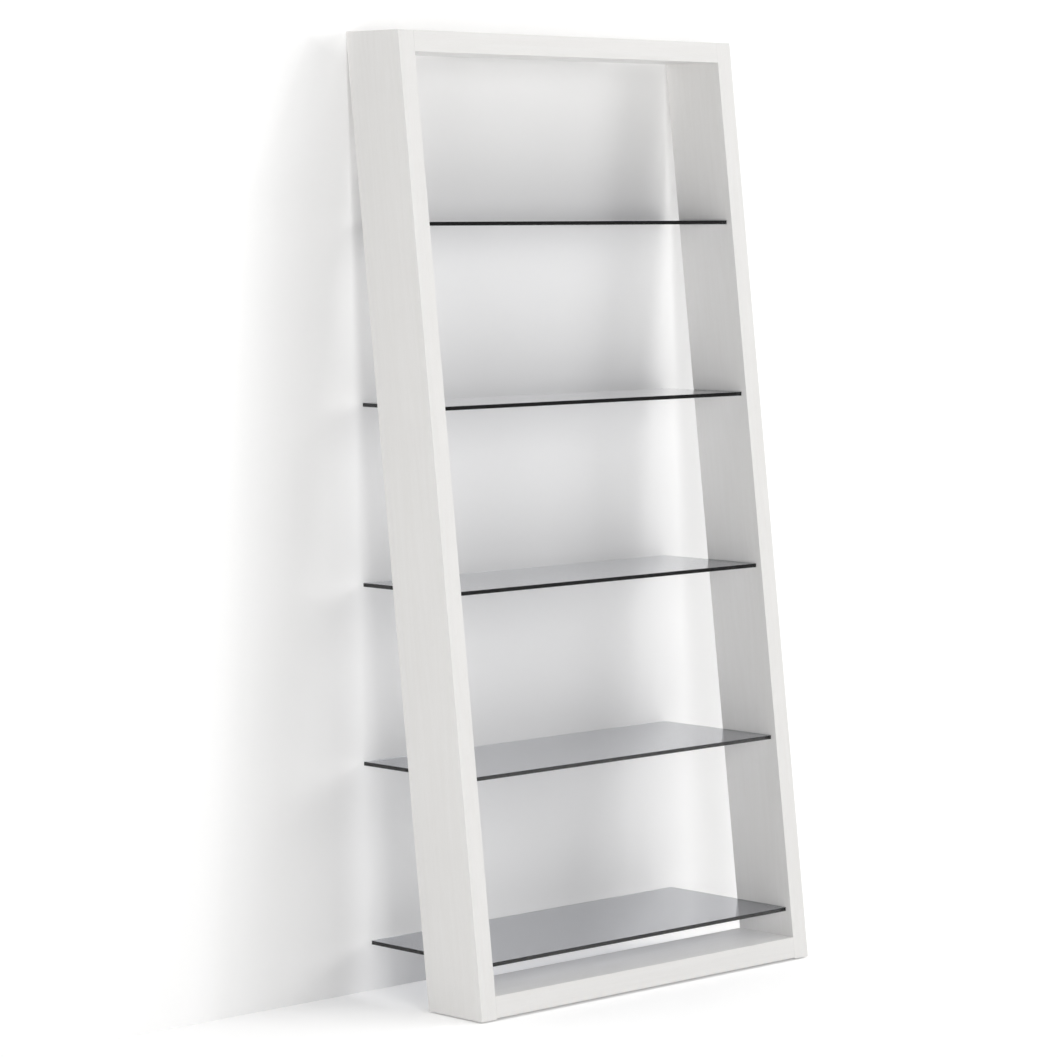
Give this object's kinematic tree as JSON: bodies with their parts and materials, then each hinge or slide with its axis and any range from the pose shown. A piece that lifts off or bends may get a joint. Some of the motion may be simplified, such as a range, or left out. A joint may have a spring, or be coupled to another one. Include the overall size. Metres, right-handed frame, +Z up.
{
  "type": "leaning bookshelf",
  "caption": "Leaning bookshelf: a white wooden frame that leans on a wall by its top edge and holds level tinted glass shelves that reach back from the frame to the wall.",
  "frame": {"origin": "on the floor, in the middle of the footprint between the side panels' outer faces and between the front edge at the floor and the wall", "axes": "+X to the right as one faces the shelf, +Y towards the wall, +Z up"},
  "size_m": [0.965, 0.3948, 1.956],
  "materials": {
    "white_oak": "white satin lacquer over open oak grain",
    "tinted_glass": "grey tinted tempered glass with polished edges",
    "white_liner": "white extruded plastic",
    "beech": "raw beech",
    "zinc_casting": "bare zinc casting",
    "plated_steel": "bright zinc plate",
    "black_plastic": "moulded nylon",
    "clear_rubber": "clear soft bumper"
  },
  "bodies": {
    "frame": {"left_side_panel": "white_oak", "right_side_panel": "white_oak", "top_rail": "white_oak", "bottom_rail": "white_oak", "left_liner_1": "white_liner", "left_liner_2": "white_liner", "left_liner_3": "white_liner", "left_liner_4": "white_liner", "left_liner_5": "white_liner", "right_liner_1": "white_liner", "right_liner_2": "white_liner", "right_liner_3": "white_liner", "right_liner_4": "white_liner", "right_liner_5": "white_liner", "dowels": "beech", "cam_bolts": "plated_steel", "cam_locks": "zinc_casting", "cam_covers": "white_oak", "foot_inserts": "zinc_casting", "rail_clip": "plated_steel", "rail_clip_screws": "plated_steel", "wall_clip": "plated_steel", "wall_bumpers": "clear_rubber"},
    "shelf_1": {"glass_shelf_1": "tinted_glass"},
    "shelf_2": {"glass_shelf_2": "tinted_glass"},
    "shelf_3": {"glass_shelf_3": "tinted_glass"},
    "shelf_4": {"glass_shelf_4": "tinted_glass"},
    "shelf_5": {"glass_shelf_5": "tinted_glass"},
    "front_left_leveller": {"front_left_stud": "plated_steel", "front_left_foot": "black_plastic"},
    "front_right_leveller": {"front_right_stud": "plated_steel", "front_right_foot": "black_plastic"},
    "rear_left_leveller": {"rear_left_stud": "plated_steel", "rear_left_foot": "black_plastic"},
    "rear_right_leveller": {"rear_right_stud": "plated_steel", "rear_right_foot": "black_plastic"}
  },
  "joints": [
    {"name": "shelf_1_slide", "type": "slide", "parent": "frame", "child": "shelf_1", "axis": [0, 1, 0], "range_m": [0, 0.12]},
    {"name": "shelf_2_slide", "type": "slide", "parent": "frame", "child": "shelf_2", "axis": [0, 1, 0], "range_m": [0, 0.12]},
    {"name": "shelf_3_slide", "type": "slide", "parent": "frame", "child": "shelf_3", "axis": [0, 1, 0], "range_m": [0, 0.12]},
    {"name": "shelf_4_slide", "type": "slide", "parent": "frame", "child": "shelf_4", "axis": [0, 1, 0], "range_m": [0, 0.12]},
    {"name": "shelf_5_slide", "type": "slide", "parent": "frame", "child": "shelf_5", "axis": [0, 1, 0], "range_m": [0, 0.12]},
    {"name": "front_left_leveller_travel", "type": "slide", "parent": "frame", "child": "front_left_leveller", "axis": [0, 0, -1], "range_m": [0, 0.012]},
    {"name": "front_right_leveller_travel", "type": "slide", "parent": "frame", "child": "front_right_leveller", "axis": [0, 0, -1], "range_m": [0, 0.012]},
    {"name": "rear_left_leveller_travel", "type": "slide", "parent": "frame", "child": "rear_left_leveller", "axis": [0, 0, -1], "range_m": [0, 0.012]},
    {"name": "rear_right_leveller_travel", "type": "slide", "parent": "frame", "child": "rear_right_leveller", "axis": [0, 0, -1], "range_m": [0, 0.012]}
  ]
}
